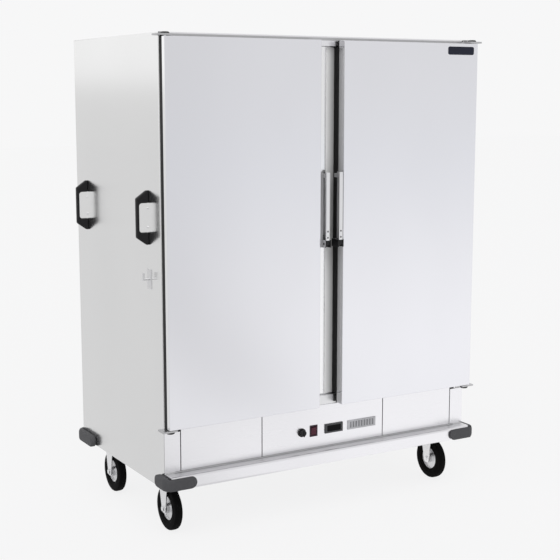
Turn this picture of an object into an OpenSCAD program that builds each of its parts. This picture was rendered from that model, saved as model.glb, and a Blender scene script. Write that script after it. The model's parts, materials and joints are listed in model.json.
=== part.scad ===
// Enclosed two-door meal tray cart on four swivel casters.
// Millimetres. +Z is up, -Y is the door side, +X is to the right when facing the doors.
// The origin is on the floor, under the middle of the whole cart. Inside the modules, y = 0 is
// the front plane of the cabinet, and place() moves that plane to front_y.

/* [Cabinet] */
// Outside width across the two side panels
cab_w = 1300; // [1150:10:1600]
// Depth from the cabinet's front plane to its back
cab_d = 757; // [640:1:920]
// Height of the side panels
body_h = 1553; // [1250:1:1900]
// Thickness of the insulated side and back walls
wall_t = 40; // [32:1:50]
// Thickness of the insulated top
top_t = 34; // [30:1:50]
// Thickness of the insulated compartment floor
floor_t = 40; // [32:1:50]
// Sheet thickness of the panel skins
skin = 1.2; // [0.8:0.1:2]
// Height of the machine base, from the side panels' lower edge to the compartment floor
base_h = 252; // [230:1:320]
// Width of the centre post and of the partition behind it
post_w = 120; // [114:2:160]
// Depth of the centre post
post_d = 40; // [30:1:60]
// How far the centre post stands back from the cabinet's front plane
post_back = 16; // [14:1:20]

/* [Doors] */
// Distance from the cabinet's front plane to the face of the doors
door_t = 48; // [46:1:56]
// Open strip between the two doors
door_gap = 96; // [90:2:104]
// Thickness of the door sheet
door_sheet = 1.5; // [1:0.1:2.5]
// Depth of the door's folded edges at the top, the bottom and the hinge side
door_fold = 19; // [14:1:22]
// Depth of the door's folded edge at the centre post
free_fold = 34; // [30:1:36]
// How far the doors stop below the top of the cabinet
door_top_drop = 15; // [14:1:30]
// How far the doors hang below the compartment floor
door_overlap = 30; // [28:1:36]
// Width of the black frame round the back of each door
frame_w = 22; // [20:1:30]
// Radius of the hinge pins
pin_r = 5; // [3:0.5:6]
// Distance from the hinge pin to the door's outer edge
pin_in_x = 12; // [10:1:14]
// Distance from the hinge pin to the door's face
pin_in_y = 20; // [18:1:22]
// Thickness of the hinge plates
hinge_t = 6; // [4:0.5:8]

/* [Door levers] */
// Height of the lever pivots above the floor
lever_z = 1008; // [800:1:1200]
// Length of a lever above its pivot
lever_h = 254; // [180:1:320]
// Width of a lever
lever_w = 15; // [12:1:18]
// Thickness of a lever
lever_t = 7; // [5:1:9]
// Distance from the middle of the cart to the near edge of a lever
lever_x = 20; // [18:1:24]

/* [Push handles] */
// Height of the middle of the push handles above the floor
grip_z = 1120; // [900:1:1250]
// Distance from the front and back planes to the push handles
grip_in = 103; // [90:1:180]
// Length of a push handle from foot to foot
grip_len = 188; // [160:1:240]
// How far a push handle stands out from the side panel
grip_out = 44; // [40:1:56]
// Width of a push handle
grip_w = 16; // [14:1:28]
// Thickness of the grip
grip_t = 11; // [9:1:14]

/* [Casters] */
// Diameter of the wheels
wheel_d = 160; // [120:1:200]
// Width of the tyres
tyre_w = 32; // [26:1:40]
// Radial thickness of the tyres
tyre_t = 30; // [18:1:34]
// How far the rim stands back from the sides of the tyre
rim_inset = 7; // [1:1:9]
// Distance from the swivel axis to the wheel's axle
trail = 30; // [24:1:50]
// Distance from the cabinet's sides to the swivel axes
caster_in_x = 66; // [60:1:90]
// Distance from the front and back planes to the swivel axes
caster_in_y = 132; // [120:1:180]
// Radius of the wheel axles
axle_r = 6; // [4:0.5:8]

/* [Chassis and bumpers] */
// How far the front rail stands ahead of the cabinet's front plane
rail_out = 50; // [48:1:53]
// Height of the chassis rails
rail_h = 57; // [50:1:66]
// Thickness of the bumpers on the front rail
bumper_t = 12; // [10:1:15]
// How far the bumpers stand out from the side panels
bumper_side_t = 24; // [20:1:30]
// Height of the bumpers
bumper_h = 44; // [36:1:50]
// Length of the bumper legs across the cart, from the outer corner
bumper_leg_x = 121; // [90:1:150]
// Length of the front bumpers along the cart, from the outer corner
bumper_front_leg = 102; // [90:1:130]
// Length of the back bumpers along the cart, from the outer corner
bumper_back_leg = 156; // [100:1:180]

/* [Controls] */
// Height of the middle of the controls above the side panels' lower edge
controls_h = 125; // [100:1:160]
// Half of the width of the control panel
control_half = 263; // [255:1:300]
// Position of the thermostat knob across the cart
knob_x = -97; // [-110:1:-90]
// Radius of the thermostat knob
knob_r = 15; // [12:1:20]
// Position of the rocker switch across the cart
rocker_x = -46; // [-52:1:-40]
// Position of the display across the cart
display_x = 42; // [36:1:48]
// Position of the vent grille across the cart
vent_x = 167; // [160:1:180]
// Number of slots in the vent grille
vent_slots = 9; // [5:1:10]

/* [Tray runners] */
// Vertical distance between tray levels
tray_pitch = 120; // [75:5:160]
// Height of the lowest runner above the compartment floor
first_tray = 90; // [60:5:150]
// Width of the ledge that carries a tray
ledge = 18; // [14:1:24]

/* [Hidden] */
$fn = 64;
e = 1;                                    // how far a cut runs past a face
run_fit = 0.05;                           // radial clearance of a shaft in its bore
soft_gap = 0.5;                           // clearance of a seal from what it closes on
body_z = wheel_d + 24;                    // lower edge of the cabinet, on top of the casters
cab_top = body_z + body_h;
half_w = cab_w / 2;
in_x = half_w - wall_t;                   // inner face of a side panel
deck_z = body_z + base_h;                 // compartment floor
roof_z = cab_top - top_t;                 // underside of the top
back_y = cab_d - wall_t;                  // inner face of the back
door_z0 = deck_z - door_overlap;
door_z1 = cab_top - door_top_drop;
free_x = door_gap / 2;                    // door edge at the centre post
pin_x = half_w - pin_in_x;
pin_y = pin_in_y - door_t;
hinge_reach = 22;                         // how far a hinge plate stands past the side panel
latch_front = 66;                         // how far the latch ears stand ahead of the front plane
rear_bumper_t = 15;
front_bumper_z = body_z + 10;             // lower edge of the bumpers on the front rail
back_bumper_z = body_z - 6;               // lower edge of the bumpers at the back
total_d = latch_front + cab_d + rear_bumper_t;
front_y = latch_front - total_d / 2;      // the cabinet's front plane in the cart's frame
rail_z1 = body_z + rail_h;
panel_gap = 4;                            // shadow gap between the front rail and the fascias
fascia_z0 = rail_z1 + panel_gap;
fascia_z1 = deck_z - floor_t + 6;
fascia_t = 3;
control_z = body_z + controls_h;
post_cover_in = half_w - 60;              // inner edge of the corner post covers
caster_x = half_w - caster_in_x;
caster_y = [caster_in_y, cab_d - caster_in_y];
plate_t = 6;
head_h = 8;                               // height of the swivel bearing
crown_t = 6;
wheel_r = wheel_d / 2;
hub_w = tyre_w + 6;
leg_in = hub_w / 2 + 2;                   // inner face of a fork leg from the wheel's middle
leg_t = 3.5;
grip_foot = 44;                           // length of a handle's foot
fan_y = 300;                              // middle of the blower wheel
fan_z = body_z + 132;
fan_r = 56;
fan_w = 50;
tray_n = floor((roof_z - deck_z - first_tray - 40) / tray_pitch) + 1;
upright_t = 6;
upright_y = [120, cab_d - 140];

STEEL = [0.82, 0.82, 0.84];
SIDE = [0.78, 0.78, 0.78];
BRIGHT = [0.88, 0.88, 0.90];
BLACK = [0.08, 0.08, 0.09];
RUBBER = [0.24, 0.24, 0.26];
RED = [0.42, 0.06, 0.08];

// ---------- helpers ----------

// Moves the cabinet's front plane to its place in the cart's frame
module place() {
    translate([0, front_y, 0]) children();
}

// The right side as drawn, or the left side as its mirror image
module on_side(side) {
    if (side < 0) mirror([1, 0, 0]) children();
    else children();
}

// A box between two corners
module box(low, high) {
    translate(low) cube(high - low);
}

// A closed box of sheet, as a foam-filled panel's skin
module skin_box(low, high, sheet) {
    inset = [sheet, sheet, sheet];
    difference() {
        box(low, high);
        box(low + inset, high - inset);
    }
}

// A rectangular tube along X
module tube_x(low, high, wall) {
    difference() {
        box(low, high);
        box(low + [-e, wall, wall], high + [e, -wall, -wall]);
    }
}

// A rectangular tube along Y
module tube_y(low, high, wall) {
    difference() {
        box(low, high);
        box(low + [wall, -e, wall], high + [-wall, e, -wall]);
    }
}

// A round bar along X, from x0 to x1
module bar_x(x0, x1, y, z, radius) {
    translate([x0, y, z]) rotate([0, 90, 0]) cylinder(r = radius, h = x1 - x0);
}

// A round bar along Y, from y0 to y1
module bar_y(x, y0, y1, z, radius) {
    translate([x, y1, z]) rotate([90, 0, 0]) cylinder(r = radius, h = y1 - y0);
}

// ---------- cabinet ----------

module side_panel(side) {
    color(SIDE) place() on_side(side)
        skin_box([in_x, 0, body_z], [half_w, cab_d, cab_top], skin);
}
module side_panel_left() side_panel(-1);
module side_panel_right() side_panel(1);

module back_panel() {
    color(STEEL) place() skin_box([-in_x, back_y, body_z], [in_x, cab_d, roof_z], skin);
}

module top_panel() {
    color(STEEL) place() skin_box([-in_x, 0, roof_z], [in_x, cab_d, cab_top], skin);
}

// The floor carries the trays' compartments and has slots that let the warm air rise
module floor_panel() {
    slot = [90, 9];
    slot_pitch = 26;
    slots = 5;
    color(STEEL) place() difference() {
        skin_box([-in_x, 0, deck_z - floor_t], [in_x, back_y, deck_z], skin);
        for (side = [-1, 1], i = [0 : slots - 1])
            translate([side * (post_w / 2 + in_x) / 2 - slot[0] / 2,
                       back_y - 80 - i * slot_pitch, deck_z - floor_t - e])
                cube([slot[0], slot[1], floor_t + 2 * e]);
    }
}

module centre_partition() {
    color(STEEL) place()
        skin_box([-post_w / 2, post_back + post_d, deck_z], [post_w / 2, back_y, roof_z], skin);
}

module centre_post() {
    color(STEEL) place()
        skin_box([-post_w / 2, post_back, deck_z],
                 [post_w / 2, post_back + post_d, roof_z], skin);
}

// Strike on the centre post that both latches close on
module latch_keeper() {
    keeper_w = 20;
    keeper_h = 24;
    color(BLACK) place()
        box([-keeper_w / 2, -20, lever_z - keeper_h / 2],
            [keeper_w / 2, post_back, lever_z + keeper_h / 2]);
}

// ---------- tray runners ----------

module rack_uprights() {
    upright_w = 20;
    color(BRIGHT) place()
        for (side = [-1, 1], y = upright_y, x = [post_w / 2, in_x - upright_t])
            on_side(side)
                box([x, y, deck_z], [x + upright_t, y + upright_w, roof_z]);
}

// One angle bar per level: a ledge under the tray's edge and a web below it
module runner(x, toward) {
    sheet = 1.5;
    web_h = 20;
    y0 = post_back + post_d + 4;
    y1 = back_y - 10;
    for (i = [0 : tray_n - 1])
        translate([x, y0, deck_z + first_tray + i * tray_pitch])
            mirror([toward < 0 ? 1 : 0, 0, 0]) {
                translate([0, 0, -sheet]) cube([ledge, y1 - y0, sheet]);
                translate([0, 0, -web_h]) cube([sheet, y1 - y0, web_h]);
            }
}

module tray_runners(side) {
    color(BRIGHT) place() on_side(side) {
        runner(post_w / 2 + upright_t, 1);
        runner(in_x - upright_t, -1);
    }
}
module tray_runners_left() tray_runners(-1);
module tray_runners_right() tray_runners(1);

// ---------- lower front ----------

module fascia(side) {
    seam = 3;
    color(STEEL) place() on_side(side)
        box([control_half + seam, -fascia_t, fascia_z0],
            [post_cover_in - seam, 0, fascia_z1]);
}
module fascia_left() fascia(-1);
module fascia_right() fascia(1);

display_cut = [71, 29];
rocker_cut = [27, 37];
vent_size = [126, 35];

module control_panel() {
    color(STEEL) place() difference() {
        box([-control_half, -fascia_t, fascia_z0], [control_half, 0, fascia_z1]);
        translate([display_x, 0, control_z])
            cube([display_cut[0], 4 * fascia_t, display_cut[1]], center = true);
        translate([rocker_x, 0, control_z])
            cube([rocker_cut[0], 4 * fascia_t, rocker_cut[1]], center = true);
        translate([vent_x, 0, control_z])
            cube([vent_size[0] - 10, 4 * fascia_t, vent_size[1] - 10], center = true);
        bar_y(knob_x, -fascia_t - e, e, control_z, 4);
    }
}

module corner_post_covers() {
    color(STEEL) place() for (side = [-1, 1]) on_side(side)
        box([post_cover_in, -fascia_t, fascia_z0],
            [half_w, 0, deck_z - floor_t - hinge_t - 4]);
}

// ---------- chassis ----------

rail_wall = 3;
rail_w = 40;

module chassis_side_rails() {
    color(STEEL) place() for (side = [-1, 1]) on_side(side)
        tube_y([in_x - rail_w, 0, body_z], [in_x, back_y, rail_z1], rail_wall);
}

module chassis_end_rails() {
    color(STEEL) place() {
        tube_x([-half_w, -rail_out, body_z + 7], [half_w, 0, rail_z1], rail_wall);
        tube_x([-in_x + rail_w, back_y - rail_w, body_z],
               [in_x - rail_w, back_y, rail_z1], rail_wall);
    }
}

module base_pan() {
    pan_t = 2;
    color(STEEL) place()
        box([-in_x, 0, rail_z1], [in_x, back_y, rail_z1 + pan_t]);
}

// A bumper's outline at the right, seen from above: leg_y runs back from the rail's corner
module bumper_outline(front_t, leg_y) {
    x1 = half_w + bumper_side_t;
    corner_r = 34;
    end_r = front_t / 2;
    difference() {
        union() {
            translate([x1 - bumper_leg_x + end_r, 0])
                square([bumper_leg_x - end_r - corner_r, front_t]);
            translate([x1 - bumper_leg_x + end_r, end_r]) circle(r = end_r);
            translate([x1 - corner_r, corner_r]) circle(r = corner_r);
            translate([half_w, corner_r])
                square([bumper_side_t, leg_y - corner_r - bumper_side_t / 2]);
            translate([half_w + bumper_side_t / 2, leg_y - bumper_side_t / 2])
                circle(r = bumper_side_t / 2);
        }
        translate([half_w - 2 * bumper_leg_x, front_t]) square([2 * bumper_leg_x, leg_y + e]);
    }
}

module bumper_front() {
    translate([0, -rail_out - bumper_t, front_bumper_z]) linear_extrude(bumper_h)
        bumper_outline(bumper_t, bumper_front_leg);
}

module bumper_back() {
    translate([0, cab_d + rear_bumper_t, back_bumper_z]) mirror([0, 1, 0]) linear_extrude(bumper_h)
        bumper_outline(rear_bumper_t, bumper_back_leg);
}

module corner_bumpers() {
    color(RUBBER) place() for (side = [-1, 1]) on_side(side) {
        bumper_front();
        bumper_back();
    }
}

// ---------- casters ----------

// Puts one caster's swivel axis at its corner; side is -1 or 1, row is 0 in front, 1 behind
module at_caster(side, row) {
    translate([side * caster_x, caster_y[row], 0]) children();
}

module caster_plates() {
    plate = [100, 90];
    bolt_in = [76, 66];
    bolt_r = 5;
    color(BRIGHT) place() for (side = [-1, 1], row = [0, 1]) at_caster(side, row) {
        translate([-plate[0] / 2, -plate[1] / 2, body_z - plate_t])
            cube([plate[0], plate[1], plate_t]);
        for (ix = [-1, 1], iy = [-1, 1])
            translate([ix * bolt_in[0] / 2, iy * bolt_in[1] / 2, body_z - plate_t - 4])
                cylinder(r = bolt_r, h = 4 + plate_t / 2);
        translate([0, 0, body_z - plate_t - head_h / 2]) cylinder(r = 30, h = head_h / 2);
    }
}

// Fork: the bearing's lower race, the crown, two legs, and the axle bolt as its own solid
module caster_fork(side, row) {
    crown_z = body_z - plate_t - head_h - crown_t;
    crown = [-trail - 26, 30];                // front and back edge of the crown
    leg_top = [-trail - 26, -trail + 32];     // front and back edge of a leg below the crown
    lower_race = head_h / 2 - 0.3;
    color(BRIGHT) place() at_caster(side, row) {
        difference() {
            union() {
                translate([0, 0, crown_z + crown_t]) cylinder(r = 27, h = lower_race);
                box([-leg_in - leg_t, crown[0], crown_z], [leg_in + leg_t, crown[1], crown_z + crown_t]);
                for (x = [-leg_in - leg_t, leg_in])
                    translate([x, 0, 0]) rotate([90, 0, 90]) linear_extrude(leg_t) {
                        polygon([[leg_top[0], crown_z + crown_t], [crown[1], crown_z + crown_t],
                                 [crown[1], crown_z + 1], [leg_top[1], crown_z - 12],
                                 [-trail + 15, wheel_r - 4], [-trail - 15, wheel_r - 4],
                                 [leg_top[0], crown_z - 12]]);
                        translate([-trail, wheel_r]) circle(r = 16);
                    }
            }
            bar_x(-leg_in - leg_t - e, leg_in + leg_t + e, -trail, wheel_r, axle_r);
        }
        bar_x(-leg_in - leg_t, leg_in + leg_t, -trail, wheel_r, axle_r);
        for (end = [-1, 1])
            translate([end > 0 ? leg_in + leg_t : -leg_in - leg_t - 6, -trail, wheel_r])
                rotate([0, 90, 0]) cylinder(r = 10, h = 6, $fn = 6);
    }
}
module caster_fork_front_left() caster_fork(-1, 0);
module caster_fork_front_right() caster_fork(1, 0);
module caster_fork_back_left() caster_fork(-1, 1);
module caster_fork_back_right() caster_fork(1, 1);

// Tyre with rounded shoulders
module caster_tyre(side, row) {
    shoulder = 8;
    inner_r = wheel_r - tyre_t;
    color(BLACK) place() at_caster(side, row)
        translate([0, -trail, wheel_r]) rotate([0, 90, 0]) rotate_extrude($fn = 96) {
            translate([inner_r, -tyre_w / 2]) square([tyre_t - shoulder, tyre_w]);
            translate([wheel_r - shoulder - 0.01, -tyre_w / 2 + shoulder])
                square([shoulder + 0.01, tyre_w - 2 * shoulder]);
            for (s = [-1, 1])
                intersection() {
                    translate([wheel_r - shoulder, s * (tyre_w / 2 - shoulder)])
                        circle(r = shoulder);
                    translate([wheel_r - shoulder, s > 0 ? tyre_w / 2 - shoulder : -tyre_w / 2])
                        square([shoulder, shoulder]);
                }
        }
}
module caster_tyre_front_left() caster_tyre(-1, 0);
module caster_tyre_front_right() caster_tyre(1, 0);
module caster_tyre_back_left() caster_tyre(-1, 1);
module caster_tyre_back_right() caster_tyre(1, 1);

// Wheel centre with a hub, a web and a rim, bored for the axle
module caster_centre(side, row) {
    rim_r = wheel_r - tyre_t;
    web_t = 10;
    color([0.55, 0.56, 0.58]) place() at_caster(side, row)
        translate([0, -trail, wheel_r]) rotate([0, 90, 0]) rotate_extrude($fn = 96) {
            translate([axle_r + run_fit, -hub_w / 2]) square([12, hub_w]);
            translate([axle_r + run_fit + 11, -web_t / 2]) square([rim_r - axle_r - 18, web_t]);
            translate([rim_r - 8, -tyre_w / 2 + rim_inset]) square([8, tyre_w - 2 * rim_inset]);
        }
}
module caster_centre_front_left() caster_centre(-1, 0);
module caster_centre_front_right() caster_centre(1, 0);
module caster_centre_back_left() caster_centre(-1, 1);
module caster_centre_back_right() caster_centre(1, 1);

// ---------- push handles ----------

// Side view of a bow handle: x is the distance from the panel, y runs along the handle
module handle_outline() {
    half = grip_len / 2;
    inner = half - grip_foot;
    inner_x = grip_out - grip_t;
    corner = 6;
    slope = grip_out - 8;
    polygon([[0, half], [8, half - 2], [grip_out, half - 2 - 0.7 * slope],
             [grip_out, -half + 2 + 0.7 * slope], [8, -half + 2], [0, -half],
             [0, -inner], [inner_x - corner, -inner], [inner_x, -inner + corner],
             [inner_x, inner - corner], [inner_x - corner, inner], [0, inner]]);
}

module push_handles(side) {
    color(BLACK) place() on_side(side)
        for (y = [grip_in, cab_d - grip_in])
            translate([half_w, y, grip_z]) rotate([90, 0, 0])
                linear_extrude(grip_w, center = true) handle_outline();
}
module push_handles_left() push_handles(-1);
module push_handles_right() push_handles(1);

module handle_screws() {
    screw_half = 32;
    color(STEEL) place()
        for (side = [-1, 1], y = [grip_in, cab_d - grip_in], s = [-1, 1])
            on_side(side)
                bar_x(half_w, half_w + 2.5, y, grip_z + s * screw_half, 4.5);
}

// ---------- doors ----------

// The block inside the door's corner that turns on a hinge pin
pivot_block = [28, 34, 30];
function pivot_low(top) = [half_w - door_sheet - pivot_block[0], -door_t + door_sheet,
    top ? door_z1 - door_sheet - pivot_block[2] : door_z0 + door_sheet];

module pivot_blocks(grow) {
    for (top = [true, false])
        translate(pivot_low(top) - [grow, 0, grow])
            cube(pivot_block + [2 * grow, grow, 2 * grow]);
}

// Folded steel pan that forms the door's face and edges
module door_shell(side) {
    s = door_sheet;
    back = -door_t + door_fold;
    color(STEEL) place() on_side(side) difference() {
        union() {
            difference() {
                box([free_x, -door_t, door_z0], [half_w, back, door_z1]);
                box([free_x + s, -door_t + s, door_z0 + s], [half_w - s, back + e, door_z1 - s]);
            }
            box([free_x, back, door_z0], [free_x + s, -door_t + free_fold, door_z1]);
            pivot_blocks(0);
        }
        translate([pin_x, pin_y, door_z0 - e])
            cylinder(r = pin_r + run_fit, h = pivot_block[2] + door_sheet + 2 * e);
        translate([pin_x, pin_y, door_z1 - pivot_block[2] - door_sheet - e])
            cylinder(r = pin_r + run_fit, h = pivot_block[2] + door_sheet + 2 * e);
    }
}
module door_left_shell() door_shell(-1);
module door_right_shell() door_shell(1);

// Black frame and its sealing lip round the back of the door
lip_w = 12;
frame_back = -6;                          // back of the rigid frame
module door_seal(side) {
    front = -door_t + door_fold;
    free_front = -door_t + free_fold;
    lip_in = 10;                          // the lip stands in from the door's edge
    post_clear = 2;
    inner_x = half_w - frame_w;
    color(BLACK) place() on_side(side) difference() {
        union() {
            // hinge side, top and bottom
            box([inner_x, front, door_z0], [half_w, frame_back, door_z1]);
            box([free_x + door_sheet, front, door_z1 - frame_w], [half_w, frame_back, door_z1]);
            box([free_x + door_sheet, front, door_z0], [half_w, frame_back, door_z0 + frame_w]);
            box([half_w - lip_in - lip_w, frame_back, deck_z - 24],
                [half_w - lip_in, -soft_gap, roof_z + 13]);
            box([free_x + 2, frame_back, roof_z + 1],
                [half_w - lip_in, -soft_gap, roof_z + 13]);
            box([free_x + 2, frame_back, deck_z - 24],
                [half_w - lip_in, -soft_gap, deck_z - 12]);
            // edge at the centre post, which reaches back between top and floor
            box([free_x + door_sheet, front, door_z0],
                [free_x + frame_w, frame_back, door_z1]);
            box([free_x, free_front, door_z0], [free_x + frame_w, frame_back, door_z1]);
            box([free_x, frame_back, deck_z + post_clear],
                [free_x + frame_w, post_back - 6, roof_z - post_clear]);
            box([free_x + 1, post_back - 6, deck_z + post_clear],
                [post_w / 2, post_back - soft_gap, roof_z - post_clear]);
        }
        pivot_blocks(0.2);
        for (z = [door_z0 - e, door_z1 - door_sheet - e])
            translate([pin_x, pin_y, z]) cylinder(r = pin_r + 1, h = door_sheet + 2 * e);
    }
}
module door_left_seal() door_seal(-1);
module door_right_seal() door_seal(1);

module door_inner_panel(side) {
    front = -door_t + door_fold + 17;
    color(STEEL) place() on_side(side)
        box([free_x + frame_w, front, door_z0 + frame_w],
            [half_w - frame_w, front + skin, door_z1 - frame_w]);
}
module door_left_inner_panel() door_inner_panel(-1);
module door_right_inner_panel() door_inner_panel(1);

// ---------- latches and levers ----------

lever_y = -56;                            // pivot of a lever
lever_boss_r = 8;
lever_front = lever_y - lever_boss_r;     // front face of a lever
side_play = 0.4;
ear_low = lever_z - 14;
ear_high = lever_z + 14;

// Black body on the door's free edge: a long back strip, two ears and an upper rest
module door_latch_body(side) {
    strip_x = lever_x + lever_w + 1;
    rest_z = lever_z + lever_h - 20;
    color(BLACK) place() on_side(side) difference() {
        union() {
            box([strip_x, -door_t + 4, ear_high], [free_x, -24, lever_z + lever_h]);
            box([lever_x - 6, -40, ear_low], [free_x, -24, ear_high]);
            box([lever_x - 6, -latch_front, ear_low], [lever_x - side_play, -40, ear_high]);
            box([lever_x + lever_w + side_play, -latch_front, ear_low],
                [free_x, -40, ear_high]);
            box([lever_x + 2, lever_front + lever_t + soft_gap, rest_z],
                [strip_x + 1, -26, rest_z + 14]);
        }
        bar_x(lever_x - 6 - e, free_x - 6, lever_y, lever_z, 4 + run_fit);
    }
}
module door_left_latch_body() door_latch_body(-1);
module door_right_latch_body() door_latch_body(1);

// Steel lever with a round boss and the stub shaft that it turns on
module door_lever(side) {
    color(BRIGHT) place() on_side(side) {
        bar_x(lever_x, lever_x + lever_w, lever_y, lever_z, lever_boss_r);
        bar_x(lever_x - 6, free_x - 7, lever_y, lever_z, 4);
        box([lever_x, lever_front, lever_z],
            [lever_x + lever_w, lever_front + lever_t, lever_z + lever_h]);
    }
}
module door_left_lever() door_lever(-1);
module door_right_lever() door_lever(1);

// ---------- hinges ----------

hinge_gap = 2;                            // space between a door and its hinge plate

// Plates above and below the doors, each with a short upright flange on the cabinet
module hinge_plates() {
    low_x = half_w - 32;
    high_x = half_w + hinge_reach;
    flange_t = 3;
    color([0.45, 0.45, 0.47]) place() for (side = [-1, 1]) on_side(side) difference() {
        union() {
            box([low_x, -door_t + 4, door_z1 + hinge_gap],
                [high_x, 0, door_z1 + hinge_gap + hinge_t]);
            box([low_x, -flange_t, door_z1 + hinge_gap], [half_w, 0, cab_top]);
            box([low_x, -door_t + 4, door_z0 - hinge_gap - hinge_t],
                [high_x, 0, door_z0 - hinge_gap]);
            box([low_x, -flange_t, deck_z - floor_t - hinge_t - 2],
                [half_w, 0, door_z0 - hinge_gap]);
        }
        translate([pin_x, pin_y, door_z0 - hinge_gap - hinge_t - e])
            cylinder(r = pin_r, h = hinge_t + 2 * e);
        translate([pin_x, pin_y, door_z1 + hinge_gap - e])
            cylinder(r = pin_r, h = hinge_t + 2 * e);
    }
}

// Pins that sit in the plates and reach into the doors, the lower ones with a thrust washer
module hinge_pins() {
    reach = 24;
    color(BRIGHT) place() for (side = [-1, 1]) on_side(side)
        translate([pin_x, pin_y, 0]) {
            translate([0, 0, door_z1 - reach])
                cylinder(r = pin_r, h = reach + hinge_gap + hinge_t);
            translate([0, 0, door_z0 - hinge_gap - hinge_t])
                cylinder(r = pin_r, h = reach + hinge_gap + hinge_t);
            translate([0, 0, door_z0 - hinge_gap]) cylinder(r = 9, h = hinge_gap - 0.3);
        }
}

// Blank plate in the upper outer corner of the right door
module badge_plate() {
    plate = [120, 2, 30];
    plate_in = 20;
    plate_drop = 12;
    color([0.10, 0.11, 0.16]) place()
        translate([half_w - plate_in - plate[0], -door_t - plate[1],
                   door_z1 - plate_drop - plate[2]])
            cube(plate);
}

// ---------- controls ----------

module thermostat_knob() {
    skirt_h = 4;
    body_len = 13;
    base_y = -fascia_t - 0.5;
    color(BLACK) place() {
        bar_y(knob_x, base_y - skirt_h, base_y, control_z, knob_r + 1);
        bar_y(knob_x, base_y - skirt_h - body_len, base_y - skirt_h, control_z, knob_r - 3);
        translate([knob_x - 2, base_y - skirt_h - body_len - 3, control_z - knob_r + 3])
            cube([4, 4, 2 * knob_r - 6]);
        bar_y(knob_x, base_y, 10, control_z, 4 - run_fit);
    }
}

rocker_hole = [22, 32];
rocker_play = 0.3;
rocker_y = -fascia_t + 1;                 // pivot of the rocker
rocker_tilt = 7;                          // angle at rest, in the off position

module rocker_bezel() {
    rim = 3;
    depth = 16;
    color(BLACK) place() translate([rocker_x, 0, control_z]) difference() {
        union() {
            translate([-rocker_cut[0] / 2 - rim, -fascia_t - 2, -rocker_cut[1] / 2 - rim])
                cube([rocker_cut[0] + 2 * rim, 2, rocker_cut[1] + 2 * rim]);
            translate([-rocker_cut[0] / 2, -fascia_t, -rocker_cut[1] / 2])
                cube([rocker_cut[0], depth, rocker_cut[1]]);
        }
        translate([-rocker_hole[0] / 2, -fascia_t - 2 - e, -rocker_hole[1] / 2])
            cube([rocker_hole[0], depth, rocker_hole[1]]);
    }
}

// The rocker's side view is a blunt wedge that tips about its middle
module rocker_switch() {
    half_h = rocker_hole[1] / 2 - 1.4;
    width = rocker_hole[0] - 2 * rocker_play;
    color(RED) place() translate([rocker_x, rocker_y, control_z]) rotate([rocker_tilt, 0, 0])
        rotate([90, 0, 90]) linear_extrude(width, center = true)
            polygon([[4, half_h - 4], [-4, half_h], [-3, 0], [-4, -half_h], [4, -half_h + 4]]);
}

module temperature_display() {
    bezel = [78, 4, 35];
    body_d = 40;
    window = [60, 1, 20];
    color(BLACK) place() translate([display_x, 0, control_z]) difference() {
        union() {
            translate([-bezel[0] / 2, -fascia_t - bezel[1], -bezel[2] / 2]) cube(bezel);
            translate([-display_cut[0] / 2, -fascia_t, -display_cut[1] / 2])
                cube([display_cut[0], body_d, display_cut[1]]);
        }
        translate([-window[0] / 2, -fascia_t - bezel[1] - e, -window[2] / 2])
            cube([window[0], window[1] + e, window[2]]);
    }
}

// Frame with upright slots over the control panel's air hole
module vent_grille() {
    slot_pitch = (vent_size[0] - 14) / vent_slots;
    slot_w = 0.55 * slot_pitch;
    color([0.55, 0.55, 0.57]) place() translate([vent_x, 0, control_z]) difference() {
        translate([-vent_size[0] / 2, -fascia_t - 3, -vent_size[1] / 2])
            cube([vent_size[0], 3, vent_size[1]]);
        for (i = [0 : vent_slots - 1])
            translate([(i - (vent_slots - 1) / 2) * slot_pitch, -fascia_t, 0])
                cube([slot_w, 4 * fascia_t, vent_size[1] - 12], center = true);
    }
}

// ---------- fittings ----------

// Bracket on the left side for hanging the plug: a small plate and an L-shaped peg
module plug_hook() {
    z = grip_z - 210;
    y = grip_in;
    color(BRIGHT) place() mirror([1, 0, 0]) translate([half_w, y, z]) {
        translate([0, -24, -34]) cube([2, 32, 68]);
        bar_x(2, 24, -8, 0, 4);
        translate([24, -8, -4]) cylinder(r = 4, h = 26);
    }
}

module power_inlet() {
    z = body_z + 150;
    x = in_x - 60;
    color(BLACK) place() difference() {
        translate([x - 30, cab_d, z - 25]) cube([60, 12, 50]);
        translate([x - 16, cab_d + 3, z - 11]) cube([32, 12, 22]);
    }
}

// ---------- warm air unit in the base ----------

module blower_motor() {
    motor_r = 40;
    y0 = fan_y + fan_w / 2 + 6;
    y1 = y0 + 80;
    color([0.3, 0.3, 0.32]) place() difference() {
        union() {
            bar_y(0, y0, y1, fan_z, motor_r);
            translate([-34, y0 + 10, rail_z1 + 2])
                cube([68, y1 - y0 - 20, fan_z - rail_z1 - 2 - motor_r / 2]);
        }
        bar_y(0, y0 - e, y0 + 50, fan_z, pin_r + run_fit);
    }
}

// Drum fan: two rings joined by blades, a back plate and the shaft
module blower_wheel() {
    blades = 20;
    ring_t = 3;
    y0 = fan_y - fan_w / 2;
    y1 = fan_y + fan_w / 2;
    color([0.7, 0.7, 0.72]) place() {
        bar_y(0, y1 - ring_t, y1, fan_z, fan_r);
        difference() {
            bar_y(0, y0, y0 + ring_t, fan_z, fan_r);
            bar_y(0, y0 - e, y0 + ring_t + e, fan_z, fan_r - 14);
        }
        for (i = [0 : blades - 1])
            translate([0, 0, fan_z]) rotate([0, i * 360 / blades, 0])
                translate([-1, y0 + 1, fan_r - 13]) cube([2, fan_w - 2, 12]);
        bar_y(0, y1 - 20, y1 + 46, fan_z, pin_r);
    }
}

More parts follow.
